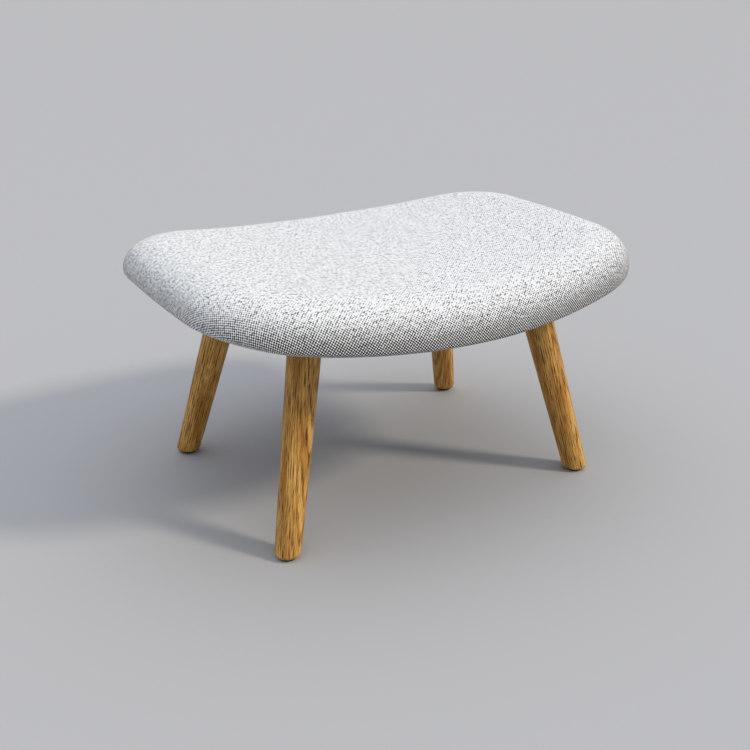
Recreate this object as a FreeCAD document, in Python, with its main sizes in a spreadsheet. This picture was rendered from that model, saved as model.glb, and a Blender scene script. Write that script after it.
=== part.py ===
import FreeCAD, Part
import math
import os
import Sketcher

# Upholstered footstool on four splayed oak legs. Millimetres, +Z up, origin on the floor
# under the middle of the seat, X along the long side, -Y the front.

doc = FreeCAD.newDocument("footstool")
sheet = doc.addObject("Spreadsheet::Sheet", "Sizes")

DRIVING = [
    # Seat outline, seen from above
    ("pad_length", 669),
    ("pad_width", 519),
    ("corner_radius", 144),
    ("long_side_radius", 890),
    ("short_side_radius", 2300),
    # Seat section: the saddle bends about a line high above the seat
    ("saddle_radius", 1550),
    ("edge_height", 281.5),
    ("top_depth", 50.5),
    ("top_nose", 71.5),
    ("crown_rise", 4),
    ("under_depth", 13),
    ("under_nose", 52),
    ("facet_allowance", 0.5),
    # Layers
    ("cover_thickness", 1.5),
    ("wadding_thickness", 5),
    ("shell_thickness", 12),
    ("shell_inset", 48),
    ("cover_turn_in", 40),
    ("liner_inset", 62),
    ("liner_thickness", 1),
    ("liner_clearance", 1.5),
    # Legs
    ("seat_long", 172),
    ("seat_cross", 113),
    ("leg_lean", 16.9),
    ("leg_bearing", 42),
    ("leg_top_diameter", 45.6),
    ("leg_foot_diameter", 34.4),
    ("foot_rounding", 7),
    ("socket_depth", 10),
    ("socket_clearance", 0.25),
    # Leg blocks
    ("block_length", 88),
    ("block_width", 68),
    ("block_height", 27),
    ("block_skirt", 14),
    ("block_chamfer", 6),
    # Fasteners
    ("bolt_diameter", 8),
    ("bolt_in_leg", 40),
    ("bolt_in_block", 12),
    ("insert_diameter", 12),
    ("insert_length", 13),
    ("screw_diameter", 4.5),
    ("screw_head", 8.6),
    ("screw_head_depth", 2.6),
    ("screw_length", 27),
    ("screw_spread_long", 34),
    ("screw_spread_cross", 23),
    ("staple_width", 10),
    ("staple_leg", 8),
    ("staple_wire", 0.8),
    ("staple_inset", 67),
    # Feet
    ("glide_diameter", 22),
    ("glide_thickness", 3),
    ("nail_diameter", 2.2),
    ("nail_head", 7),
    ("nail_head_thickness", 0.8),
    ("nail_head_height", 1),
    ("nail_length", 16),
]
for row, (alias, size) in enumerate(DRIVING, start=1):
    sheet.set("A%d" % row, alias)
    sheet.set("B%d" % row, str(size))
    sheet.setAlias("B%d" % row, alias)
doc.recompute()


def named(expression):
    """Expression text in which each sheet alias is written in full."""
    words = {alias for alias, size in DRIVING}
    out = ""
    token = ""
    for letter in expression + " ":
        if letter.isalnum() or letter == "_":
            token += letter
            continue
        out += "Sizes." + token if token in words else token
        token = ""
        out += letter
    return out.strip()


def value(expression):
    """Number that an expression over the sheet gives now."""
    result = sheet.evalExpression(named(expression))
    return float(getattr(result, "Value", result))


def bind(target, path, expression):
    """Ties a property of an object to sizes of the sheet."""
    target.setExpression(path, named(expression))


# Derived heights, as expressions over the sheet.
LEAN = "(leg_lean * 1deg)"
BEARING = "(leg_bearing * 1deg)"
AXIS_HEIGHT = "(edge_height + saddle_radius)"
SHELL_LOW = "(cover_thickness - under_depth)"
SHELL_HIGH = "(cover_thickness - under_depth + shell_thickness)"
SHELL_TOP_AT_LEG = ("(edge_height + saddle_radius"
                    " - sqrt((saddle_radius - " + SHELL_HIGH + ")^2 - seat_long^2))")
LEG_END_HEIGHT = "(" + SHELL_TOP_AT_LEG + " + socket_depth)"
LEG_LENGTH = "(" + LEG_END_HEIGHT + " / cos" + LEAN + ")"
FOOT_REACH = "((" + LEG_END_HEIGHT + " - glide_thickness) * tan" + LEAN + ")"
CORNERS = {
    "front_left": (-1, -1, "leg_bearing"),
    "front_right": (1, -1, "180 - leg_bearing"),
    "back_left": (-1, 1, "-leg_bearing"),
    "back_right": (1, 1, "180 + leg_bearing"),
}


def plane_of(body, role):
    """Origin plane of a body, found by its role."""
    return next(item for item in body.Origin.OriginFeatures if item.Role == role)


def new_body(name):
    body = doc.addObject("PartDesign::Body", name)
    return body


def new_sketch(body, role, name):
    """Sketch attached flat to one of the body's own origin planes."""
    sketch = body.newObject("Sketcher::SketchObject", name)
    sketch.AttachmentSupport = [(plane_of(body, role), "")]
    sketch.MapMode = "FlatFace"
    return sketch


def place_point(sketch, geometry, position, across, up):
    """Fixes one sketch point at coordinates given as expressions."""
    for kind, expression in (("DistanceX", across), ("DistanceY", up)):
        number = value(expression)
        index = sketch.addConstraint(Sketcher.Constraint(kind, geometry, position, number))
        bind(sketch, "Constraints[%d]" % index, expression)


def polygon(sketch, corners):
    """Closed outline of straight lines through corners given as pairs of expressions."""
    points = [FreeCAD.Vector(value(across), value(up), 0) for across, up in corners]
    count = len(points)
    first = sketch.GeometryCount
    for index in range(count):
        sketch.addGeometry(Part.LineSegment(points[index], points[(index + 1) % count]), False)
    for index in range(count):
        following = first + (index + 1) % count
        sketch.addConstraint(Sketcher.Constraint("Coincident", first + index, 2, following, 1))
    for index, (across, up) in enumerate(corners):
        place_point(sketch, first + index, 1, across, up)
    return first


def circle(sketch, across, up, radius):
    """Circle with its centre and radius given as expressions."""
    centre = FreeCAD.Vector(value(across), value(up), 0)
    shape = Part.Circle(centre, FreeCAD.Vector(0, 0, 1), value(radius))
    index = sketch.addGeometry(shape, False)
    place_point(sketch, index, 3, across, up)
    dimension = sketch.addConstraint(Sketcher.Constraint("Radius", index, value(radius)))
    bind(sketch, "Constraints[%d]" % dimension, radius)


def meeting_point(one, one_radius, other, other_radius):
    """Upper right crossing of two circles."""
    span = other - one
    along = (one_radius ** 2 - other_radius ** 2 + span.Length ** 2) / (2 * span.Length)
    aside = math.sqrt(one_radius ** 2 - along ** 2)
    direction = FreeCAD.Vector(span).normalize()
    foot = one + direction * along
    square = FreeCAD.Vector(-direction.y, direction.x, 0)
    return max(foot + square * aside, foot - square * aside, key=lambda spot: spot.x + spot.y)


def seat_arcs():
    """Eight tangent arcs of the seat outline, anticlockwise from the right end.

    Each is the centre's X and Y, the radius, and the angles where it starts and ends."""
    half_long = value("pad_length / 2")
    half_cross = value("pad_width / 2")
    long_radius = value("long_side_radius")
    short_radius = value("short_side_radius")
    corner = value("corner_radius")
    long_centre = FreeCAD.Vector(0, half_cross - long_radius, 0)
    short_centre = FreeCAD.Vector(half_long - short_radius, 0, 0)
    middle = meeting_point(long_centre, long_radius - corner, short_centre, short_radius - corner)
    to_short = math.atan2(middle.y, middle.x - short_centre.x)
    to_long = math.atan2(middle.y - long_centre.y, middle.x)
    half = math.pi
    turn = 2 * math.pi
    return [
        (short_centre.x, 0, short_radius, -to_short, to_short),
        (middle.x, middle.y, corner, to_short, to_long),
        (0, long_centre.y, long_radius, to_long, half - to_long),
        (-middle.x, middle.y, corner, half - to_long, half - to_short),
        (-short_centre.x, 0, short_radius, half - to_short, half + to_short),
        (-middle.x, -middle.y, corner, half + to_short, half + to_long),
        (0, -long_centre.y, long_radius, half + to_long, turn - to_long),
        (middle.x, -middle.y, corner, turn - to_long, turn - to_short),
    ]


def ring_of_arcs(sketch, inset):
    """Seat outline, inset all round, as eight tangent arcs about fixed centres."""
    first = sketch.GeometryCount
    depth = value(inset)
    for across, up, radius, start, end in seat_arcs():
        centre = FreeCAD.Vector(across, up, 0)
        whole = Part.Circle(centre, FreeCAD.Vector(0, 0, 1), radius - depth)
        sketch.addGeometry(Part.ArcOfCircle(whole, start, end), False)
    for step in range(8):
        following = first + (step + 1) % 8
        sketch.addConstraint(Sketcher.Constraint("Tangent", first + step, 2, following, 1))
    across_axis = -1
    up_axis = -2
    for step, axis, kind, centre in (
            (0, across_axis, "DistanceX", "pad_length / 2 - short_side_radius"),
            (4, across_axis, "DistanceX", "short_side_radius - pad_length / 2"),
            (2, up_axis, "DistanceY", "pad_width / 2 - long_side_radius"),
            (6, up_axis, "DistanceY", "long_side_radius - pad_width / 2")):
        sketch.addConstraint(Sketcher.Constraint("PointOnObject", first + step, 3, axis))
        index = sketch.addConstraint(Sketcher.Constraint(kind, first + step, 3, value(centre)))
        bind(sketch, "Constraints[%d]" % index, centre)
    for step, radius in ((0, "short_side_radius"), (1, "corner_radius"), (2, "long_side_radius")):
        reach = radius + " - (" + inset + ")"
        index = sketch.addConstraint(Sketcher.Constraint("Radius", first + step, value(reach)))
        bind(sketch, "Constraints[%d]" % index, reach)
    for one, other in ((1, 3), (1, 5), (1, 7), (2, 6), (0, 4)):
        sketch.addConstraint(Sketcher.Constraint("Equal", first + one, first + other))


def saddle_height(across):
    """Height of the seat's widest line over a point this far from the middle."""
    radius = value("saddle_radius")
    return value("edge_height") + radius - math.sqrt(radius ** 2 - across ** 2)


# Facets of the padded forms: steps along a short side, a corner and a long side
STEPS_ALONG = (4, 6, 8)


def seat_ring(inset, share, lift):
    """Points round the seat outline, inset, drawn in to a share, and lifted off the saddle."""
    short_steps, corner_steps, long_steps = STEPS_ALONG
    points = []
    for number, (across, up, radius, start, end) in enumerate(seat_arcs()):
        steps = (short_steps, corner_steps, long_steps, corner_steps)[number % 4]
        for step in range(steps):
            angle = start + (end - start) * step / steps
            x = share * (across + (radius - inset) * math.cos(angle))
            y = share * (up + (radius - inset) * math.sin(angle))
            points.append(FreeCAD.Vector(x, y, saddle_height(x) + lift))
    return points


def seat_form(skin):
    """Closed form of the padded seat, a given depth inside its outer face.

    A quarter ellipse rounds the rim above the widest line and a flatter one below it.
    The top is crowned, and the whole form follows the saddle. Inner forms reach a little
    lower, so that their flat facets stay clear of the shell's curved underside."""
    top_nose = value("top_nose") - skin
    top_depth = value("top_depth") - skin
    under_nose = value("under_nose") - skin
    under_depth = value("under_depth") - skin
    if skin:
        under_depth = under_depth + value("facet_allowance")
    crown = value("crown_rise")
    rings = [seat_ring(skin + under_nose, share, -under_depth) for share in (0.34, 0.66, 0.86)]
    for turn in (90, 45):
        angle = math.radians(turn)
        rings.append(seat_ring(skin + under_nose * (1 - math.cos(angle)), 1,
                               -under_depth * math.sin(angle)))
    for turn in (0, 18, 36, 54, 72, 90):
        angle = math.radians(turn)
        rings.append(seat_ring(skin + top_nose * (1 - math.cos(angle)), 1,
                               top_depth * math.sin(angle)))
    for share in (0.76, 0.52, 0.27):
        rings.append(seat_ring(skin + top_nose, share, top_depth + crown * (1 - share ** 2)))
    lowest = FreeCAD.Vector(0, 0, saddle_height(0) - under_depth)
    highest = FreeCAD.Vector(0, 0, saddle_height(0) + top_depth + crown)
    return closed_form(lowest, rings, highest)


def closed_form(lowest, rings, highest):
    """Solid of small flat faces through rings of as many points, closed at both ends."""
    count = len(rings[0])
    corners = []
    for step in range(count):
        after = (step + 1) % count
        corners.append((lowest, rings[0][after], rings[0][step]))
        corners.append((highest, rings[-1][step], rings[-1][after]))
        for below, above in zip(rings[:-1], rings[1:]):
            corners.append((below[step], below[after], above[after]))
            corners.append((below[step], above[after], above[step]))
    faces = [Part.Face(Part.makePolygon([one, two, three, one])) for one, two, three in corners]
    skin = Part.makeCompound(faces)
    skin.sewShape(0.001)
    solid = Part.Solid(skin if skin.ShapeType == "Shell" else skin.Shells[0])
    if solid.Volume < 0:
        solid.reverse()
    return solid


def revolve(body, sketch, axis, angle, both_ways=False):
    """Turns a sketch about a line of that sketch."""
    feature = body.newObject("PartDesign::Revolution", body.Label + "_turned")
    feature.Profile = sketch
    feature.ReferenceAxis = (sketch, [axis])
    feature.Midplane = both_ways
    bind(feature, "Angle", angle)
    return feature


def cut_through(body, sketch):
    """Pocket through the whole body, to both sides of its sketch."""
    feature = body.newObject("PartDesign::Pocket", body.Label + "_cut")
    feature.Profile = sketch
    feature.Type = "ThroughAll"
    feature.SideType = "Symmetric"
    return feature


def dress_edges(body, kind, property_name, size, pick):
    """Fillet or chamfer on the edges of the body as it stands that pick accepts."""
    doc.recompute()
    base = body.Tip
    names = ["Edge%d" % number for number, edge in enumerate(base.Shape.Edges, start=1)
             if pick(edge)]
    feature = body.newObject("PartDesign::" + kind, body.Label + "_" + kind.lower())
    feature.Base = (base, names)
    bind(feature, property_name, size)
    doc.recompute()


def saddle_slab(name, low, high, inset):
    """Slab between two heights over the edge line, bent as the saddle, cut to the outline."""
    body = new_body(name)
    sketch = new_sketch(body, "YZ_Plane", name + "_section")
    side = "(pad_width / 2)"
    base = "edge_height + " + low
    top = "edge_height + " + high
    polygon(sketch, [("-" + side, base), (side, base), (side, top), ("-" + side, top)])
    bend_line = sketch.addGeometry(Part.LineSegment(
        FreeCAD.Vector(-value(side), value(AXIS_HEIGHT), 0),
        FreeCAD.Vector(value(side), value(AXIS_HEIGHT), 0)), True)
    place_point(sketch, bend_line, 1, "-" + side, AXIS_HEIGHT)
    place_point(sketch, bend_line, 2, side, AXIS_HEIGHT)
    sweep = "2 * asin((pad_length / 2) / (saddle_radius - top_depth))"
    revolve(body, sketch, "Axis0", sweep, True)
    outline = new_sketch(body, "XY_Plane", name + "_outline")
    polygon(outline, [("-pad_length", "-pad_width"), ("pad_length", "-pad_width"),
                      ("pad_length", "pad_width"), ("-pad_length", "pad_width")])
    ring_of_arcs(outline, inset)
    cut_through(body, outline)
    return body


def place(item, across, up, height, yaw="0", lean="0"):
    """Binds an object's Placement to sheet expressions: position, bearing and lean."""
    bind(item, "Placement", "create(<<placement>>; create(<<vector>>; %s; %s; %s); "
         "create(<<rotation>>; (%s) * 1deg; (%s) * 1deg; 0))" % (across, up, height, yaw, lean))


def at_leg_end(item, corner):
    """Places an object on a leg's axis: origin at the leg's upper end, +Z up the leg."""
    across, up, yaw = CORNERS[corner]
    place(item, "%d * seat_long" % across, "%d * seat_cross" % up, LEG_END_HEIGHT, yaw, "leg_lean")


def at_foot(item, corner):
    """Places an object upright on the floor under the middle of a foot."""
    across, up, yaw = CORNERS[corner]
    place(item, "%d * (seat_long + %s * cos%s)" % (across, FOOT_REACH, BEARING),
          "%d * (seat_cross + %s * sin%s)" % (up, FOOT_REACH, BEARING), "0")


def turned(name, corners):
    """Body of revolution about its own Z axis, from a section of radius and height."""
    body = new_body(name)
    sketch = new_sketch(body, "XZ_Plane", name + "_section")
    polygon(sketch, corners)
    revolve(body, sketch, "V_Axis", "360")
    return body


def leg_section(spare):
    """Leg section of radius and height, from below the floor cut up to the leg's end."""
    low = "(0 - " + LEG_LENGTH + " - leg_foot_diameter)"
    taper = "((leg_top_diameter - leg_foot_diameter) / 2 / " + LEG_LENGTH + ")"
    low_radius = "(leg_foot_diameter / 2 - leg_foot_diameter * " + taper + " + " + spare + ")"
    top_radius = "(leg_top_diameter / 2 + " + spare + ")"
    return [("0", low), (low_radius, low), (top_radius, "0"), ("0", "0")]


def make_leg(name):
    """Tapered round leg with a level foot, rounded there, bored for its bolt and nail."""
    body = turned(name, leg_section("0"))
    floor = new_sketch(body, "XZ_Plane", name + "_floor")
    reach = "leg_top_diameter"
    level = "(glide_thickness / cos" + LEAN + " - " + LEG_LENGTH + ")"
    rise = "(" + reach + " * tan" + LEAN + ")"
    below = "(0 - " + LEG_LENGTH + " - 2 * leg_top_diameter)"
    polygon(floor, [("-" + reach, level + " - " + rise), ("-" + reach, below),
                    (reach, below), (reach, level + " + " + rise)])
    cut_through(body, floor)
    pilot = new_sketch(body, "XY_Plane", name + "_pilot")
    circle(pilot, "0", "0", "bolt_diameter / 2")
    bore = body.newObject("PartDesign::Pocket", name + "_bolt_bore")
    bore.Profile = pilot
    bind(bore, "Length", "bolt_in_leg")
    dress_edges(body, "Fillet", "Radius", "foot_rounding", lambda edge: is_foot_rim(edge))
    upright_bore(body)
    return body


def is_foot_rim(edge):
    """True for the slanting rim that the floor cut leaves on a leg."""
    box = edge.BoundBox
    wide = box.XLength > value("leg_foot_diameter / 2") and box.ZLength > value("glide_thickness")
    return wide and box.ZMax < -value(LEG_LENGTH) / 2 and not isinstance(edge.Curve, Part.Line)


def upright_bore(body):
    """Nail hole square to the level foot of a leaning leg."""
    sketch = new_sketch(body, "XZ_Plane", body.Label + "_nail_section")
    foot = "(glide_thickness / cos" + LEAN + " - " + LEG_LENGTH + ")"
    depth = "(nail_length - glide_thickness)"
    below = "glide_thickness"
    half = "(nail_diameter / 2)"
    corners = []
    for aside, along in (("0", "-" + below), (half, "-" + below), (half, depth), ("0", depth)):
        corners.append((aside + " * cos" + LEAN + " - " + along + " * sin" + LEAN,
                        foot + " + " + aside + " * sin" + LEAN + " + " + along + " * cos" + LEAN))
    polygon(sketch, corners)
    axis = sketch.addGeometry(Part.LineSegment(
        FreeCAD.Vector(value(corners[0][0]), value(corners[0][1]), 0),
        FreeCAD.Vector(value(corners[3][0]), value(corners[3][1]), 0)), True)
    place_point(sketch, axis, 1, *corners[0])
    place_point(sketch, axis, 2, *corners[3])
    groove = body.newObject("PartDesign::Groove", body.Label + "_nail_bore")
    groove.Profile = sketch
    groove.ReferenceAxis = (sketch, ["Axis0"])
    bind(groove, "Angle", "360")


def make_block(name, corner):
    """Block stock: upright prism with a chamfered top."""
    body = new_body(name)
    sketch = new_sketch(body, "XY_Plane", name + "_outline")
    long_half = "(block_length / 2)"
    cross_half = "(block_width / 2)"
    polygon(sketch, [("-" + long_half, "-" + cross_half), (long_half, "-" + cross_half),
                     (long_half, cross_half), ("-" + long_half, cross_half)])
    pad = body.newObject("PartDesign::Pad", name + "_height")
    pad.Profile = sketch
    bind(pad, "Length", "block_skirt + block_height")
    full = value("block_skirt + block_height")
    dress_edges(body, "Chamfer", "Size", "block_chamfer",
                lambda edge: edge.BoundBox.ZMin > full - 0.01)
    across, up, yaw = CORNERS[corner]
    place(body, "%d * seat_long" % across, "%d * seat_cross" % up,
          SHELL_TOP_AT_LEG + " - block_skirt", yaw)
    return body


def cut(name, base, tools):
    """Base solid with every tool taken away, as a chain of cuts that ends in this name."""
    result = base
    for number, tool in enumerate(tools, start=1):
        last = number == len(tools)
        step = doc.addObject("Part::Cut", name if last else "%s_stage_%d" % (name, number))
        step.Base = result
        step.Tool = tool
        result = step
    return result


def shape_node(name, shape):
    """Object that holds a computed shape, at its own Placement."""
    item = doc.addObject("Part::Feature", name)
    item.Shape = shape
    item.Placement = FreeCAD.Placement()
    return item


def screw_places():
    """Places of the block screws: upright, head down on the underside of the shell."""
    places = []
    for across, up, yaw in CORNERS.values():
        angle = math.radians(value(yaw))
        for along, aside in ((1, 1), (-1, -1), (1, -1), (-1, 1)):
            local_x = along * value("screw_spread_long")
            local_y = aside * value("screw_spread_cross")
            x = across * value("seat_long") + local_x * math.cos(angle) - local_y * math.sin(angle)
            y = up * value("seat_cross") + local_x * math.sin(angle) + local_y * math.cos(angle)
            z = value("edge_height") + value(SHELL_LOW) + saddle_drop(x, y)
            places.append(FreeCAD.Placement(FreeCAD.Vector(x, y, z), FreeCAD.Rotation()))
    return places


def saddle_drop(x, y):
    """Rise of the shell's underside over its middle, at a point seen from above."""
    radius = value("saddle_radius") - value(SHELL_LOW)
    return radius - math.sqrt(radius ** 2 - x ** 2)


def staple_places(inset, depth):
    """Places round the underside, at an inset and depth: X along the hem, Z into the seat."""
    places = []
    reach = value(inset)
    radius = value("saddle_radius") + value(depth)
    counts = (3, 2, 5, 2, 3, 2, 5, 2)
    for number, (across, up, arc, start, end) in enumerate(seat_arcs()):
        for step in range(counts[number]):
            angle = start + (end - start) * (step + 0.5) / counts[number]
            x = across + (arc - reach) * math.cos(angle)
            y = up + (arc - reach) * math.sin(angle)
            fall = math.asin(x / radius)
            z = value(AXIS_HEIGHT) - radius * math.cos(fall)
            inward = FreeCAD.Vector(-math.sin(fall), 0, math.cos(fall))
            along = FreeCAD.Vector(-math.sin(angle), math.cos(angle), 0)
            along = (along - inward * along.dot(inward)).normalize()
            turn = FreeCAD.Rotation(along, inward.cross(along), inward, "ZXY")
            places.append(FreeCAD.Placement(FreeCAD.Vector(x, y, z), turn))
    return places


def staple():
    """Wire staple, its back under the origin and its two legs standing up."""
    wire = value("staple_wire")
    width = value("staple_width")
    tall = value("staple_leg")
    back = Part.makeBox(width, wire, wire, FreeCAD.Vector(-width / 2, -wire / 2, -wire))
    left = Part.makeBox(wire, wire, tall + wire, FreeCAD.Vector(-width / 2, -wire / 2, -wire))
    right = Part.makeBox(wire, wire, tall + wire,
                         FreeCAD.Vector(width / 2 - wire, -wire / 2, -wire))
    return back.fuse([left, right]).removeSplitter()


def copies(shape, places):
    """Compound of a shape repeated at places."""
    return Part.makeCompound([shape.transformed(spot.toMatrix()) for spot in places])


# Structural shell, blocks and legs
shell_blank = saddle_slab("seat_shell_blank", SHELL_LOW, SHELL_HIGH, "shell_inset")
below_seat = saddle_slab("below_seat", "(0 - block_skirt - block_height)", SHELL_HIGH, "0")
shell_space = saddle_slab("shell_space", "(0 - under_depth - shell_thickness)", SHELL_HIGH,
                          "shell_inset")
liner_high = "(0 - under_depth)"
liner_blank = saddle_slab("bottom_liner_blank", "(" + liner_high + " - liner_thickness)",
                          liner_high, "liner_inset")
socket_tools = []
opening_tools = []
insert_tools = []
block_blanks = []
finished = []
for corner in CORNERS:
    leg = make_leg("leg_" + corner)
    at_leg_end(leg, corner)
    socket = turned("socket_" + corner, leg_section("socket_clearance"))
    at_leg_end(socket, corner)
    socket_tools.append(socket)
    opening = turned("opening_" + corner, leg_section("liner_clearance"))
    at_leg_end(opening, corner)
    opening_tools.append(opening)
    insert = turned("threaded_insert_" + corner, [
        ("bolt_diameter / 2", "0"), ("insert_diameter / 2", "0"),
        ("insert_diameter / 2", "insert_length"), ("bolt_diameter / 2", "insert_length")])
    at_leg_end(insert, corner)
    plug = turned("insert_bore_" + corner, [
        ("0", "0 - socket_depth"), ("insert_diameter / 2", "0 - socket_depth"),
        ("insert_diameter / 2", "insert_length"), ("0", "insert_length")])
    at_leg_end(plug, corner)
    insert_tools.append(plug)
    bolt = turned("hanger_bolt_" + corner, [
        ("0", "0 - bolt_in_leg"), ("bolt_diameter / 2", "0 - bolt_in_leg"),
        ("bolt_diameter / 2", "bolt_in_block"), ("0", "bolt_in_block")])
    at_leg_end(bolt, corner)
    glide = turned("glide_" + corner, [
        ("0", "0"), ("glide_diameter / 2", "0"), ("glide_diameter / 2", "glide_thickness"),
        ("nail_diameter / 2", "glide_thickness"),
        ("nail_diameter / 2", "nail_head_height + nail_head_thickness"),
        ("nail_head / 2", "nail_head_height + nail_head_thickness"),
        ("nail_head / 2", "nail_head_height"), ("0", "nail_head_height")])
    at_foot(glide, corner)
    nail = turned("glide_nail_" + corner, [
        ("0", "nail_head_height"), ("nail_head / 2", "nail_head_height"),
        ("nail_head / 2", "nail_head_height + nail_head_thickness"),
        ("nail_diameter / 2", "nail_head_height + nail_head_thickness"),
        ("nail_diameter / 2", "nail_length"), ("0", "nail_length")])
    at_foot(nail, corner)
    block_blanks.append(make_block("block_blank_" + corner, corner))
    finished.extend([leg, insert, bolt, glide, nail])
doc.recompute()

screw_body = turned("screw_form", [
    ("0", "0"), ("screw_head / 2", "0"),
    ("screw_head / 2", "screw_head_depth"), ("screw_diameter / 2", "screw_head_depth"),
    ("screw_diameter / 2", "screw_length"), ("0", "screw_length")])
doc.recompute()
screws = shape_node("block_screws", copies(screw_body.Shape, screw_places()))
staples = shape_node("hem_staples", copies(
    staple(), staple_places("staple_inset", "under_depth + liner_thickness")))
doc.recompute()

blocks = []
for number, corner in enumerate(CORNERS):
    blocks.append(cut("leg_block_" + corner, block_blanks[number],
                      [below_seat, socket_tools[number], insert_tools[number], screws]))
doc.recompute()
liner = shape_node("bottom_liner", liner_blank.Shape.cut(
    [item.Shape for item in opening_tools]).cut(staples.Shape.Solids))
shell = shape_node("seat_shell", shell_blank.Shape.cut(staples.Shape.Solids).cut(
    [item.Shape for item in socket_tools]).cut(screws.Shape.Solids))

# Soft layers, from the outside in
outside = seat_form(0)
under_cover = seat_form(value("cover_thickness"))
under_wadding = seat_form(value("cover_thickness + wadding_thickness"))
opening_face = Part.Face(Part.makePolygon(
    [FreeCAD.Vector(point.x, point.y, 0) for point in
     seat_ring(value("shell_inset + cover_turn_in"), 1, 0) + seat_ring(
         value("shell_inset + cover_turn_in"), 1, 0)[:1]]))
opening_prism = opening_face.extrude(FreeCAD.Vector(0, 0, value("edge_height + top_depth / 2")))
cover = shape_node("seat_cover", outside.cut(under_cover).cut(opening_prism).cut(
    staples.Shape.Solids))
wadding = shape_node("wadding_layer", under_cover.cut(under_wadding).cut(shell_space.Shape))
foam = shape_node("foam_pad", under_wadding.cut(shell_space.Shape).cut(
    [item.Shape for item in block_blanks]))
doc.recompute()

finished.extend([shell, liner, screws, staples, cover, wadding, foam])
finished.extend(blocks)

faults = [item.Label for item in doc.Objects if "Invalid" in item.State or "Error" in item.State]
if faults:
    raise RuntimeError("objects not computed: " + ", ".join(faults))
for item in finished:
    if item.Shape.isNull() or not item.Shape.isValid():
        raise RuntimeError("shape not valid: " + item.Label)
os.makedirs("parts", exist_ok=True)
for item in finished:
    item.Shape.exportStep("parts/" + item.Label + ".step")
    box = item.Shape.BoundBox
    print("%-28s solids %2d faces %4d volume %11.0f box %s" % (
        item.Label, len(item.Shape.Solids), len(item.Shape.Faces), item.Shape.Volume,
        " ".join("%.1f" % number for number in (
            box.XMin, box.YMin, box.ZMin, box.XMax, box.YMax, box.ZMax))))
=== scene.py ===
import math

import bmesh
import bpy
from mathutils import Matrix, Vector, noise


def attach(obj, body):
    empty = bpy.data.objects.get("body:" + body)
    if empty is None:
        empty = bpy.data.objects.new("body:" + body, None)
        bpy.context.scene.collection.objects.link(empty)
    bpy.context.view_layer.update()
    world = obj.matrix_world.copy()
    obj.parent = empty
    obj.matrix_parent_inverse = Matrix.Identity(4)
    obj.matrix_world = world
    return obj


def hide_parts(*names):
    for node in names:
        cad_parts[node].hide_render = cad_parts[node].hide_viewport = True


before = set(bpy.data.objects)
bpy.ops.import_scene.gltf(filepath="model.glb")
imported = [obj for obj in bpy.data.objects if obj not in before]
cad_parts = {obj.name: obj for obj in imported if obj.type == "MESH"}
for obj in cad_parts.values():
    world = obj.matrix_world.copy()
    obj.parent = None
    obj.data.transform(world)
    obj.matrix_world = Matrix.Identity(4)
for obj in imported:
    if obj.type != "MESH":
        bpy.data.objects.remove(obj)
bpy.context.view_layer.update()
MM = 0.001
# Nearness at which two places count as one
NEAR = 1e-6
# Each corner's side along X, left or right, and along Y, front or back
CORNERS = {"front_left": (-1, -1), "front_right": (1, -1),
           "back_left": (-1, 1), "back_right": (1, 1)}


# Camera: where the photo was taken from, found from the four feet and the seat's outline

CAMERA_PLACE = (-0.72266, -1.20319, 0.73339)
YAW, PITCH, ROLL = math.radians(-30.767), math.radians(22.945), math.radians(0.167)
SENSOR_WIDTH, LENS = 36.0, 49.64


def place_camera():
    data = bpy.data.cameras.new("photo_camera")
    data.sensor_width = SENSOR_WIDTH
    data.lens = LENS
    data.clip_start = 0.05
    data.clip_end = 60
    camera = bpy.data.objects.new("photo_camera", data)
    bpy.context.scene.collection.objects.link(camera)
    level = Vector((-math.sin(YAW), math.cos(YAW), 0))
    ahead = level * math.cos(PITCH) - Vector((0, 0, math.sin(PITCH)))
    right = Vector((math.cos(YAW), math.sin(YAW), 0))
    above = level * math.sin(PITCH) + Vector((0, 0, math.cos(PITCH)))
    rolled_right = right * math.cos(ROLL) + above * math.sin(ROLL)
    rolled_above = above * math.cos(ROLL) - right * math.sin(ROLL)
    turn = Matrix((rolled_right, rolled_above, -ahead)).transposed().to_4x4()
    camera.matrix_world = Matrix.Translation(CAMERA_PLACE) @ turn
    bpy.context.scene.camera = camera


# Finishes

# Scale at which a wave texture repeats once in a metre
WAVE = 2 * math.pi / 20


def linear(code):
    """sRGB hex colour as linear red, green, blue and alpha."""
    values = []
    for start in (1, 3, 5):
        part = int(code[start:start + 2], 16) / 255
        values.append(part / 12.92 if part <= 0.04045 else ((part + 0.055) / 1.055) ** 2.4)
    return (*values, 1)


def per_metre(size):
    """Scale of a pattern whose features have this size in millimetres."""
    return 1 / (size * MM)


def fill(tree, item, inputs):
    """Gives a node its numbers, colours or links by input."""
    for key, given in inputs.items():
        if isinstance(given, bpy.types.NodeSocket):
            tree.links.new(given, item.inputs[key])
        else:
            item.inputs[key].default_value = given


def add(tree, kind, inputs=None, **settings):
    """Adds a node with its settings, and fills its inputs."""
    item = tree.nodes.new(kind)
    for name, setting in settings.items():
        setattr(item, name, setting)
    fill(tree, item, inputs or {})
    return item


def new_finish(name):
    finish = bpy.data.materials.new(name)
    finish.use_nodes = True
    shader = finish.node_tree.nodes["Principled BSDF"]
    return finish, finish.node_tree, shader


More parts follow.
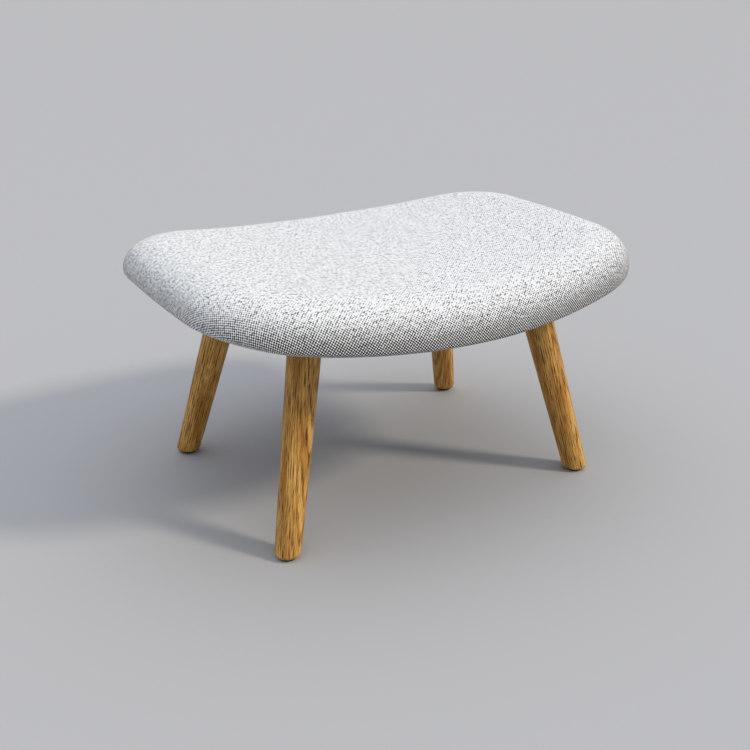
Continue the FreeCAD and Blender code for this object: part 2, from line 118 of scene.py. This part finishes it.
def wool():
    """Woven wool in an off-white and a charcoal yarn: a close check of pale dots on dark."""
    finish, tree, shader = new_finish("two-tone woven wool")
    cloth = add(tree, "ShaderNodeUVMap", uv_map="cloth").outputs[0]
    # Painted shade over the rim, partly the weave drawn open, read from the cushion's points
    stretch_and_shade = add(tree, "ShaderNodeAttribute", attribute_name="stretch_and_shade").outputs["Fac"]
    # Yarns wander by some 0.3 mm to each side about every 6 mm, as spun wool does
    wander = add(tree, "ShaderNodeTexNoise", {"Vector": cloth, "Scale": per_metre(5.882),
                 "Detail": 2.0}, noise_dimensions="2D").outputs[1]
    moved = add(tree, "ShaderNodeVectorMath", {0: wander, 1: (0.6 * MM, 0.6 * MM, 0), 2: cloth},
                operation="MULTIPLY_ADD").outputs[0]
    # One pair of yarns every 3.8 mm both ways, drawn 4.1 mm apart so that the check shows
    pitch = 2 * math.pi * per_metre(4.1)
    turns = add(tree, "ShaderNodeVectorMath", {0: moved, 1: (pitch, pitch, 0)},
                operation="MULTIPLY").outputs[0]
    waves = add(tree, "ShaderNodeVectorMath", {0: turns}, operation="SINE").outputs[0]
    along, across, _ = add(tree, "ShaderNodeSeparateXYZ", {0: waves}).outputs
    check = add(tree, "ShaderNodeMath", {0: along, 1: across}, operation="MULTIPLY").outputs[0]
    weave = add(tree, "ShaderNodeMath", {0: across, 1: 0.12, 2: check},
                operation="MULTIPLY_ADD").outputs[0]
    # Uneven spinning: fibres drawn 1 mm wide so that they show, thick and thin places of 4 mm,
    # and slubs 22 mm long and 3 mm wide
    fuzz = add(tree, "ShaderNodeTexNoise", {"Vector": cloth, "Scale": per_metre(1.0526),
               "Detail": 3.0}, noise_dimensions="2D").outputs[0]
    uneven = add(tree, "ShaderNodeTexNoise", {"Vector": cloth, "Scale": per_metre(4),
                 "Detail": 2.0, "Roughness": 0.7}, noise_dimensions="2D").outputs[0]
    slub_space = add(tree, "ShaderNodeMapping", {"Vector": cloth,
                     "Scale": (per_metre(22.22), per_metre(3.333), 1)})
    slubs = add(tree, "ShaderNodeTexNoise", {"Vector": slub_space.outputs[0], "Scale": 1.0,
                "Detail": 2.0}, noise_dimensions="2D").outputs[0]
    rough = add(tree, "ShaderNodeMath", {0: fuzz, 1: 1.5, 2: -2.8},
                operation="MULTIPLY_ADD").outputs[0]
    rough = add(tree, "ShaderNodeMath", {0: uneven, 1: 3.2, 2: rough},
                operation="MULTIPLY_ADD").outputs[0]
    rough = add(tree, "ShaderNodeMath", {0: slubs, 1: 0.9, 2: rough},
                operation="MULTIPLY_ADD").outputs[0]
    # Over the rim the weave lies more even and open and the cloth turns darker: partly the weave
    # drawn open, partly painted shade
    calm = add(tree, "ShaderNodeMath", {0: stretch_and_shade, 1: -1.25, 2: 1.0},
               operation="MULTIPLY_ADD").outputs[0]
    rough = add(tree, "ShaderNodeMath", {0: rough, 1: calm}, operation="MULTIPLY").outputs[0]
    order = add(tree, "ShaderNodeMath", {0: stretch_and_shade, 1: 1.2, 2: 0.6},
                operation="MULTIPLY_ADD").outputs[0]
    level = add(tree, "ShaderNodeMath", {0: weave, 1: order, 2: rough},
                operation="MULTIPLY_ADD").outputs[0]
    level = add(tree, "ShaderNodeMath", {0: stretch_and_shade, 1: -1.15, 2: level},
                operation="MULTIPLY_ADD").outputs[0]
    pale = add(tree, "ShaderNodeMapRange", {0: level, 1: -0.59, 2: -0.42},
               interpolation_type="SMOOTHSTEP").outputs[0]
    light = add(tree, "ShaderNodeMix", {0: slubs, 6: linear("#EDEDEA"), 7: linear("#FBFBF9")},
                data_type="RGBA").outputs[2]
    colour = add(tree, "ShaderNodeMix", {0: pale, 6: linear("#0F0E0D"), 7: light},
                 data_type="RGBA").outputs[2]
    height = add(tree, "ShaderNodeMath", {0: weave, 1: 0.7, 2: fuzz},
                 operation="MULTIPLY_ADD").outputs[0]
    bump = add(tree, "ShaderNodeBump", {"Height": height, "Strength": 0.8,
               "Distance": 0.6 * MM}).outputs[0]
    fill(tree, shader, {"Base Color": colour, "Normal": bump, "Roughness": 0.92,
         "Specular IOR Level": 0.2, "Sheen Weight": 0.12, "Sheen Roughness": 0.5})
    return finish


def oak():
    """Solid oak, turned, sanded and oiled: golden brown with dark pores along the grain."""
    finish, tree, shader = new_finish("oiled oak")
    grain = add(tree, "ShaderNodeAttribute", attribute_name="grain").outputs["Vector"]
    # Growth rings 3 mm apart, about a pith 4 to 10 cm beside the leg and a few degrees off it
    pith = add(tree, "ShaderNodeMapping", {"Vector": grain, "Rotation": (0.05, 0.035, 0)})
    flat = add(tree, "ShaderNodeMapping", {"Vector": pith.outputs[0], "Scale": (1, 1, 0.12)})
    rings = add(tree, "ShaderNodeTexWave", {"Vector": flat.outputs[0],
                "Scale": per_metre(2.992) * WAVE, "Distortion": 3.5, "Detail": 3.0,
                "Detail Scale": 0.6, "Detail Roughness": 0.6},
                wave_type="RINGS", rings_direction="Z").outputs[1]
    early = add(tree, "ShaderNodeMapRange", {0: rings, 1: 0.45, 2: 0.95},
                interpolation_type="SMOOTHSTEP").outputs[0]
    # Paler and darker streaks, 11 mm wide and 9 cm long
    tone = add(tree, "ShaderNodeTexNoise", {"Vector": flat.outputs[0], "Scale": per_metre(11.11),
               "Detail": 4.0}).outputs[0]
    broad = add(tree, "ShaderNodeMapRange", {0: tone, 1: 0.33, 2: 0.66}).outputs[0]
    # Pores: dark dashes 24 mm long, drawn 1.3 mm wide so that they show, fainter in late wood
    pore_space = add(tree, "ShaderNodeMapping", {"Vector": grain, "Scale": (1, 1, 0.055)})
    pores = add(tree, "ShaderNodeTexNoise", {"Vector": pore_space.outputs[0],
                "Scale": per_metre(1.3158), "Detail": 3.0, "Roughness": 0.65}).outputs[0]
    pore_mask = add(tree, "ShaderNodeMapRange", {0: pores, 1: 0.5, 2: 0.58},
                    interpolation_type="SMOOTHSTEP").outputs[0]
    depth = add(tree, "ShaderNodeMath", {0: early, 1: 0.5, 2: 0.5},
                operation="MULTIPLY_ADD").outputs[0]
    pore_mask = add(tree, "ShaderNodeMath", {0: pore_mask, 1: depth},
                    operation="MULTIPLY").outputs[0]
    base = add(tree, "ShaderNodeMix", {0: early, 6: linear("#F6C46B"), 7: linear("#D69543")},
               data_type="RGBA").outputs[2]
    toned = add(tree, "ShaderNodeMix", {0: broad, 6: linear("#B67A30"), 7: base},
                data_type="RGBA").outputs[2]
    colour = add(tree, "ShaderNodeMix", {0: pore_mask, 6: toned, 7: linear("#4F2F0E")},
                 data_type="RGBA").outputs[2]
    bump = add(tree, "ShaderNodeBump", {"Height": pore_mask, "Strength": 0.3,
               "Distance": 0.3 * MM}, invert=True).outputs[0]
    fill(tree, shader, {"Base Color": colour, "Normal": bump, "Roughness": 0.48,
         "Specular IOR Level": 0.3})
    return finish


def streaked_wood(name, length, width, light, dark, roughness):
    """Unfinished wood inside the seat: dull, with streaks of the given length and width."""
    finish, tree, shader = new_finish(name)
    place = add(tree, "ShaderNodeTexCoord").outputs["Object"]
    scale = (per_metre(length), per_metre(width), per_metre(width))
    space = add(tree, "ShaderNodeMapping", {"Vector": place, "Scale": scale})
    streaks = add(tree, "ShaderNodeTexNoise", {"Vector": space.outputs[0], "Scale": 1.0,
                  "Detail": 4.0, "Roughness": 0.6}).outputs[0]
    share = add(tree, "ShaderNodeMapRange", {0: streaks, 1: 0.35, 2: 0.65}).outputs[0]
    colour = add(tree, "ShaderNodeMix", {0: share, 6: linear(dark), 7: linear(light)},
                 data_type="RGBA").outputs[2]
    bump = add(tree, "ShaderNodeBump", {"Height": streaks, "Strength": 0.3,
               "Distance": 0.3 * MM}).outputs[0]
    fill(tree, shader, {"Base Color": colour, "Normal": bump, "Roughness": roughness})
    return finish


def spun_cloth():
    """Spun-bonded polypropylene: matt black, with pressed points about 2 mm apart."""
    finish, tree, shader = new_finish("spun-bonded polypropylene cloth")
    place = add(tree, "ShaderNodeTexCoord").outputs["Object"]
    points = add(tree, "ShaderNodeTexVoronoi", {"Vector": place, "Scale": per_metre(2),
                 "Randomness": 0.35}).outputs[0]
    # Fibres, drawn 1.1 mm wide so that they show
    fibres = add(tree, "ShaderNodeTexNoise", {"Vector": place, "Scale": per_metre(1.111),
                 "Detail": 3.0}).outputs[0]
    share = add(tree, "ShaderNodeMath", {0: points, 1: fibres}, operation="MULTIPLY").outputs[0]
    colour = add(tree, "ShaderNodeMix", {0: share, 6: linear("#19191A"), 7: linear("#4A4A4C")},
                 data_type="RGBA").outputs[2]
    bump = add(tree, "ShaderNodeBump", {"Height": points, "Strength": 0.6,
               "Distance": 0.3 * MM}).outputs[0]
    fill(tree, shader, {"Base Color": colour, "Normal": bump, "Roughness": 0.9})
    return finish


def zinc_steel():
    """Zinc-plated steel of the fasteners: a cool grey metal with a cloudy, half-dull shine."""
    finish, tree, shader = new_finish("zinc-plated steel")
    place = add(tree, "ShaderNodeTexCoord").outputs["Object"]
    clouds = add(tree, "ShaderNodeTexNoise", {"Vector": place, "Scale": per_metre(2.857),
                 "Detail": 3.0}).outputs[0]
    colour = add(tree, "ShaderNodeMix", {0: clouds, 6: linear("#93969B"), 7: linear("#C9CBCE")},
                 data_type="RGBA").outputs[2]
    dull = add(tree, "ShaderNodeMapRange", {0: clouds, 1: 0.3, 2: 0.7, 3: 0.28, 4: 0.46})
    fill(tree, shader, {"Base Color": colour, "Roughness": dull.outputs[0], "Metallic": 1.0})
    return finish


def polyethylene():
    """Moulded black polyethylene: waxy, with the fine grain of its mould, drawn 0.4 mm wide."""
    finish, tree, shader = new_finish("moulded black polyethylene")
    place = add(tree, "ShaderNodeTexCoord").outputs["Object"]
    grain = add(tree, "ShaderNodeTexNoise", {"Vector": place, "Scale": per_metre(0.4),
                "Detail": 2.0}).outputs[0]
    colour = add(tree, "ShaderNodeMix", {0: grain, 6: linear("#171718"), 7: linear("#252526")},
                 data_type="RGBA").outputs[2]
    bump = add(tree, "ShaderNodeBump", {"Height": grain, "Strength": 0.2,
               "Distance": 0.2 * MM}).outputs[0]
    fill(tree, shader, {"Base Color": colour, "Normal": bump, "Roughness": 0.5})
    return finish


def finish_piece(mesh, name, finish):
    """Turns a closed bmesh into a piece of the stool, with its finish."""
    bmesh.ops.recalc_face_normals(mesh, faces=mesh.faces[:])
    data = bpy.data.meshes.new(name)
    mesh.to_mesh(data)
    mesh.free()
    piece = bpy.data.objects.new(name, data)
    bpy.context.scene.collection.objects.link(piece)
    data.materials.append(finish)
    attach(piece, "root")
    return piece


# Seat, in millimetres, as the CAD source has it

LENGTH, WIDTH = 669.0, 519.0
# Radii of the outline's arcs, at the corners and along the sides
CORNER, LONG_SIDE, SHORT_SIDE = 144.0, 890.0, 2300.0
# Radius of the saddle, and the height of the seat's widest line at its lowest
SADDLE, EDGE_HEIGHT = 1550.0, 281.5
# Width and depth of the nose above the widest line, and the crown of the sitting face
TOP_NOSE, TOP_DEPTH, CROWN = 71.5, 50.5, 4.0
# Width and depth of the flatter nose below the widest line
UNDER_NOSE, UNDER_DEPTH = 52.0, 13.0
# How far in the turned-in hem ends, its share of the cushion's bottom, and the step up past it
HEM_END, HEM_SHARE, HEM_STEP = 88.0, 0.84, 4.0
# Straight stretches that a nose's curve is measured in, and facets along each side
NOSE_STEPS, CUSHION_FACETS = 24, 112
# Slow unevenness of the padding: how often it comes in a metre, and its height
UNEVENNESS = ((9.0, 0.7), (24.0, 0.25))
# Painted shade of the rim, partly the cover's stretch: its share at the long rims, how much less
# on the short ones, and its ease below
RIM_STRETCH_AND_SHADE, SHORT_SHADE_EASE, UNDER_EASE = 0.67, 0.6, 0.2


def outline_arcs():
    """Centres of the arcs of a quarter outline, and the angles where they meet the corner's.

    The short side's centre lies on the X axis and the long side's on the Y axis."""
    long_centre = WIDTH / 2 - LONG_SIDE
    short_centre = LENGTH / 2 - SHORT_SIDE
    span = math.hypot(short_centre, long_centre)
    one, other = LONG_SIDE - CORNER, SHORT_SIDE - CORNER
    along = (one ** 2 - other ** 2 + span ** 2) / (2 * span)
    aside = math.sqrt(one ** 2 - along ** 2)
    ahead = Vector((short_centre, -long_centre)) / span
    middle = Vector((0, long_centre)) + ahead * along
    spots = [middle + Vector((-ahead.y, ahead.x)) * aside * side for side in (1, -1)]
    corner_centre = max(spots, key=lambda spot: spot.x + spot.y)
    to_short = math.atan2(corner_centre.y, corner_centre.x - short_centre)
    to_long = math.atan2(corner_centre.y - long_centre, corner_centre.x)
    return short_centre, long_centre, corner_centre, to_short, to_long


SHORT_CENTRE, LONG_CENTRE, CORNER_CENTRE, TO_SHORT, TO_LONG = outline_arcs()
MIDDLE_TURN = (TO_SHORT + TO_LONG) / 2


def outline_point(side, share):
    """Centre, radius and angle of the outline: side 0 right, 1 back, 2 left, 3 front.

    The share runs from -1 to 1 between the middles of the two corners."""
    mirror = 1 if share >= 0 else -1
    share = abs(share)
    if side % 2 == 0:
        side_length, turn = SHORT_SIDE * TO_SHORT, MIDDLE_TURN - TO_SHORT
    else:
        side_length, turn = LONG_SIDE * (math.pi / 2 - TO_LONG), TO_LONG - MIDDLE_TURN
    reach = share * (side_length + CORNER * turn)
    if reach <= side_length:
        if side % 2 == 0:
            centre, radius = Vector((SHORT_CENTRE, 0)), SHORT_SIDE
            angle = mirror * reach / radius
        else:
            centre, radius = Vector((0, LONG_CENTRE)), LONG_SIDE
            angle = math.pi / 2 + mirror * reach / radius
    else:
        past = (reach - side_length) / CORNER
        radius = CORNER
        if side % 2 == 0:
            centre = Vector((CORNER_CENTRE.x, mirror * CORNER_CENTRE.y))
            angle = mirror * (TO_SHORT + past)
        else:
            centre = Vector((-mirror * CORNER_CENTRE.x, CORNER_CENTRE.y))
            angle = math.pi / 2 + mirror * (math.pi / 2 - TO_LONG + past)
    if side >= 2:
        centre, angle = -centre, angle + math.pi
    return centre, radius, angle


def saddle(across, lift=0.0):
    """Height of the saddle, or of a face that runs at a lift over it."""
    return EDGE_HEIGHT + SADDLE - math.sqrt((SADDLE - lift) ** 2 - across ** 2)


def nose_lengths(width, depth):
    """Table of the length along a quarter ellipse, from its level end to its upright end."""
    table = [0.0]
    for step in range(NOSE_STEPS):
        one, other = (math.pi / 2 * (1 - end / NOSE_STEPS) for end in (step, step + 1))
        table.append(table[-1] + math.hypot(width * (math.cos(one) - math.cos(other)),
                                            depth * (math.sin(one) - math.sin(other))))
    return table


UPPER_LENGTHS = nose_lengths(TOP_NOSE, TOP_DEPTH)
UNDER_LENGTHS = nose_lengths(UNDER_NOSE, UNDER_DEPTH)


def turn_at(lengths, share):
    """Angle on the quarter ellipse at a share of its length, and that length."""
    wanted = share * lengths[-1]
    for step in range(NOSE_STEPS):
        if wanted <= lengths[step + 1] or step == NOSE_STEPS - 1:
            part = (wanted - lengths[step]) / (lengths[step + 1] - lengths[step])
            return math.pi / 2 * (1 - (step + part) / NOSE_STEPS), wanted


def smooth(share):
    """Share from 0 to 1 that starts and ends gently."""
    share = min(1, max(0, share))
    return share * share * (3 - 2 * share)


def cushion_point(spot):
    """Place on the cushion, place on the flat cloth and outward direction of a cube's point.

    The cube has a half size of 1. Its top becomes the sitting face, its sides the nose of the
    seat, and its bottom the turned-in hem."""
    flat_reach = max(abs(spot.x), abs(spot.y))
    if flat_reach < NEAR:
        side, share = 0, 0.0
    elif abs(spot.x) >= abs(spot.y):
        side, share = (0 if spot.x > 0 else 2), spot.y / spot.x
    else:
        side, share = (1 if spot.y > 0 else 3), -spot.x / spot.y
    centre, radius, angle = outline_point(side, share)
    outward = Vector((math.cos(angle), math.sin(angle)))
    inner = centre + outward * (radius - TOP_NOSE)
    on_rim = flat_reach >= 1 - NEAR
    if not on_rim and spot.z > 0:
        place = inner * flat_reach
        lift = TOP_DEPTH + CROWN * (1 - flat_reach ** 2) ** 2
        return Vector((place.x, place.y, saddle(place.x) + lift)), place, outward
    if on_rim and spot.z >= 0:
        turn, run = turn_at(UPPER_LENGTHS, 1 - spot.z)
        place = inner + outward * TOP_NOSE * math.cos(turn)
        lift = TOP_DEPTH * math.sin(turn)
    elif on_rim:
        turn, left = turn_at(UNDER_LENGTHS, 1 + spot.z)
        run = UPPER_LENGTHS[-1] + UNDER_LENGTHS[-1] - left
        place = centre + outward * (radius - UNDER_NOSE * (1 - math.cos(turn)))
        lift = -UNDER_DEPTH * math.sin(turn)
    elif flat_reach > HEM_SHARE:
        past = (HEM_END - UNDER_NOSE) * (1 - flat_reach) / (1 - HEM_SHARE)
        run = UPPER_LENGTHS[-1] + UNDER_LENGTHS[-1] + past
        place = centre + outward * (radius - UNDER_NOSE - past)
        lift = -UNDER_DEPTH
    else:
        run = 0
        place = (centre + outward * (radius - HEM_END)) * flat_reach / HEM_SHARE
        lift = HEM_STEP - UNDER_DEPTH
    return Vector((place.x, place.y, saddle(place.x) + lift)), inner + outward * run, outward


def make_cushion():
    """The padded seat: one closed skin with the cloth's own flat coordinates as its UV map.

    A point attribute darkens the cloth over the rim, most of all on the long sides and less
    again below the
    widest line: partly the weave drawn open there, partly painted shade."""
    mesh = bmesh.new()
    bmesh.ops.create_cube(mesh, size=2)
    bmesh.ops.subdivide_edges(mesh, edges=mesh.edges[:], cuts=CUSHION_FACETS - 1,
                              use_grid_fill=True)
    cloth_at = mesh.verts.layers.float_vector.new("cloth")
    stretch_and_shade_at = mesh.verts.layers.float.new("stretch_and_shade")
    for point in mesh.verts:
        place, cloth, outward = cushion_point(point.co)
        fall = 1 - (place.z - saddle(place.x)) / TOP_DEPTH
        beneath = smooth((fall - 1) * TOP_DEPTH / UNDER_DEPTH)
        # Painted shade over the rim, partly the weave drawn open: full on the long sides, less
        # on the short ends and below
        stretch_and_shade = RIM_STRETCH_AND_SHADE * (1 - SHORT_SHADE_EASE * outward.x ** 2)
        point[stretch_and_shade_at] = stretch_and_shade * smooth(fall) - UNDER_EASE * beneath
        point[cloth_at] = (cloth.x * MM, cloth.y * MM, 0)
        point.co = place * MM
    mesh.normal_update()
    for point in mesh.verts:
        slow = sum(noise.noise(point.co * often) * height for often, height in UNEVENNESS)
        point.co += point.normal * slow * MM
    lay = mesh.loops.layers.uv.new("cloth")
    for face in mesh.faces:
        face.smooth = True
        for loop in face.loops:
            loop[lay].uv = loop.vert[cloth_at].xy
    return finish_piece(mesh, "cushion", wool())


# Legs and glides, in millimetres, as the CAD source has them

# The shell's upper face over the saddle, and how far the leg goes into the block on it
SHELL_HIGH, SOCKET_DEPTH = 0.5, 10.0
LEG_ACROSS, LEG_UP = 172.0, 113.0
LEG_END = Vector((LEG_ACROSS, LEG_UP, saddle(LEG_ACROSS, SHELL_HIGH) + SOCKET_DEPTH))
# How far a leg leans off the upright, and the bearing of its lean off the long side
LEAN, BEARING = math.radians(16.9), math.radians(42)
LEG_LENGTH = LEG_END.z / math.cos(LEAN)
# Diameters of the leg at its two ends, and the rounding of its foot
LEG_TOP, LEG_FOOT, FOOT_ROUNDING = 45.6, 34.4, 7.0
# Facets round a leg, and the rings of points that keep them short
LEG_FACETS, LEG_RINGS, RING_STEP = 96, 11, 24.0
GLIDE_THICKNESS, GLIDE_RADIUS, GLIDE_ROUNDING, GLIDE_FACETS = 3.0, 11.0, 0.7, 64


def make_leg(name, sides, finish):
    """Turned taper from the origin down, cut level at the foot, then leaned into its corner."""
    mesh = bmesh.new()
    spare = LEG_FOOT
    taper = (LEG_TOP - LEG_FOOT) / 2 / LEG_LENGTH
    bmesh.ops.create_cone(mesh, cap_ends=True, segments=LEG_FACETS,
                          radius1=LEG_FOOT / 2 - spare * taper, radius2=LEG_TOP / 2,
                          depth=LEG_LENGTH + spare)
    bmesh.ops.translate(mesh, verts=mesh.verts, vec=(0, 0, -(LEG_LENGTH + spare) / 2))
    level = Vector((0, 0, GLIDE_THICKNESS / math.cos(LEAN) - LEG_LENGTH))
    upright = Vector((-math.sin(LEAN), 0, math.cos(LEAN)))
    cut = bmesh.ops.bisect_plane(mesh, geom=mesh.verts[:] + mesh.edges[:] + mesh.faces[:],
                                 plane_co=level, plane_no=upright, clear_inner=True)
    rim = [item for item in cut["geom_cut"] if isinstance(item, bmesh.types.BMEdge)]
    bmesh.ops.contextual_create(mesh, geom=rim)
    bmesh.ops.bevel(mesh, geom=rim, offset=FOOT_ROUNDING, offset_type="OFFSET", segments=8,
                    profile=0.5, affect="EDGES", material=-1, clamp_overlap=True)
    for ring in range(1, LEG_RINGS + 1):
        bmesh.ops.bisect_plane(mesh, geom=mesh.verts[:] + mesh.edges[:] + mesh.faces[:],
                               plane_co=(0, 0, -ring * RING_STEP), plane_no=(0, 0, 1))
    # Each leg has a place of its own in the tree, so that no two have the same figure
    across, up = sides
    in_tree = Vector((0.045 * across, 0.012 * up - 0.01, 0.4 * across * up + 0.7))
    grain_at = mesh.verts.layers.float_vector.new("grain")
    for point in mesh.verts:
        point[grain_at] = point.co * MM + in_tree
    yaw = math.atan2(-up * math.sin(BEARING), -across * math.cos(BEARING))
    place = Matrix.Translation((across * LEG_END.x, up * LEG_END.y, LEG_END.z))
    place = place @ Matrix.Rotation(yaw, 4, "Z") @ Matrix.Rotation(LEAN, 4, "Y")
    bmesh.ops.transform(mesh, matrix=Matrix.Scale(MM, 4) @ place, verts=mesh.verts)
    for face in mesh.faces:
        face.smooth = len(face.verts) <= 4
    piece = finish_piece(mesh, "turned_" + name, finish)
    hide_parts(name)


def make_glide(name, sides, finish):
    """Moulded disc under a foot, its edges just rounded."""
    mesh = bmesh.new()
    bmesh.ops.create_cone(mesh, cap_ends=True, segments=GLIDE_FACETS, radius1=GLIDE_RADIUS,
                          radius2=GLIDE_RADIUS, depth=GLIDE_THICKNESS)
    rims = [edge for edge in mesh.edges if abs(edge.verts[0].co.z - edge.verts[1].co.z) < NEAR]
    bmesh.ops.bevel(mesh, geom=rims, offset=GLIDE_ROUNDING, offset_type="OFFSET", segments=3,
                    profile=0.5, affect="EDGES", material=-1, clamp_overlap=True)
    across, up = sides
    reach = (LEG_END.z - GLIDE_THICKNESS) * math.tan(LEAN)
    foot = Vector((across * (LEG_END.x + reach * math.cos(BEARING)),
                   up * (LEG_END.y + reach * math.sin(BEARING)), GLIDE_THICKNESS / 2))
    bmesh.ops.transform(mesh, matrix=Matrix.Scale(MM, 4) @ Matrix.Translation(foot),
                        verts=mesh.verts)
    for face in mesh.faces:
        face.smooth = len(face.verts) <= 4
    piece = finish_piece(mesh, "moulded_" + name, finish)
    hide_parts(name)


# Floor and lights

# Half the side of the floor, in metres
FLOOR_REACH = 60
# Strength of the sky at the horizon and overhead, and of the plain room that shows
SKY_LOW, SKY_HIGH, ROOM = 0.12, 1.75, 0.56
# The lamp's light goes to the left, back and down
LAMP_STRENGTH, LAMP_SPREAD, LAMP_WAY = 1.5, math.radians(9), (-0.557, 0.557, -0.616)


def make_floor():
    """Plain pale floor, nearly without gloss."""
    finish, tree, shader = new_finish("matt studio floor")
    fill(tree, shader, {"Base Color": linear("#B6B5B4"), "Roughness": 0.9,
         "Specular IOR Level": 0.2})
    mesh = bmesh.new()
    bmesh.ops.create_grid(mesh, x_segments=2, y_segments=2, size=FLOOR_REACH)
    data = bpy.data.meshes.new("floor")
    mesh.to_mesh(data)
    mesh.free()
    floor = bpy.data.objects.new("floor", data)
    data.materials.append(finish)
    bpy.context.scene.collection.objects.link(floor)


def set_sky():
    """Soft light, strongest from overhead, in a room that shows about as pale as the floor."""
    world = bpy.data.worlds.new("studio")
    bpy.context.scene.world = world
    world.use_nodes = True
    tree = world.node_tree
    heading = add(tree, "ShaderNodeTexCoord").outputs["Generated"]
    height = add(tree, "ShaderNodeSeparateXYZ", {0: heading}).outputs[2]
    peak = add(tree, "ShaderNodeMath", {0: height, 1: 2.0}, operation="POWER").outputs[0]
    level = add(tree, "ShaderNodeMapRange", {0: peak, 1: 0.0, 2: 1.0, 3: SKY_LOW, 4: SKY_HIGH})
    path = add(tree, "ShaderNodeLightPath")
    seen = add(tree, "ShaderNodeMath", {0: path.outputs["Is Camera Ray"],
               1: path.outputs["Is Glossy Ray"]}, operation="MAXIMUM").outputs[0]
    seen = add(tree, "ShaderNodeMath", {0: seen, 1: path.outputs["Is Transmission Ray"]},
               operation="MAXIMUM").outputs[0]
    shown = add(tree, "ShaderNodeMix", {0: seen, 2: level.outputs[0], 3: ROOM},
                data_type="FLOAT").outputs[0]
    tint = add(tree, "ShaderNodeMix", {0: seen, 6: linear("#EEF4FF"), 7: linear("#FFFEFC")},
               data_type="RGBA").outputs[2]
    fill(tree, tree.nodes["Background"], {"Color": tint, "Strength": shown})


def set_lamp():
    """Lamp high on the front right, broad enough for soft shadows."""
    lamp = bpy.data.lights.new("key", "SUN")
    lamp.energy = LAMP_STRENGTH
    lamp.angle = LAMP_SPREAD
    lamp.color = linear("#FFF6E8")[:3]
    item = bpy.data.objects.new("key", lamp)
    item.rotation_euler = Vector(LAMP_WAY).to_track_quat("-Z", "Y").to_euler()
    bpy.context.scene.collection.objects.link(item)


place_camera()
make_floor()
set_sky()
set_lamp()
cushion = make_cushion()
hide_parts("seat_cover", "wadding_layer", "foam_pad")
oak_finish = oak()
glide_finish = polyethylene()
for corner, sides in CORNERS.items():
    make_leg("leg_" + corner, sides, oak_finish)
    make_glide("glide_" + corner, sides, glide_finish)

# The other nodes keep their shape: wood and cloth as named here, and fasteners of steel
steel = zinc_steel()
finishes = {
    "seat_shell": streaked_wood("birch plywood", 83.3, 4.545, "#DCC193", "#C19C67", 0.6),
    "leg_block": streaked_wood("beech", 8.333, 1.429, "#CDA06B", "#A97B4A", 0.55),
    "bottom_liner": spun_cloth(),
}
for name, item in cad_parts.items():
    if not item.hide_render:
        start = next((key for key in finishes if name.startswith(key)), None)
        item.data.materials.clear()
        item.data.materials.append(finishes.get(start, steel))

bpy.context.scene.view_settings.view_transform = "Standard"
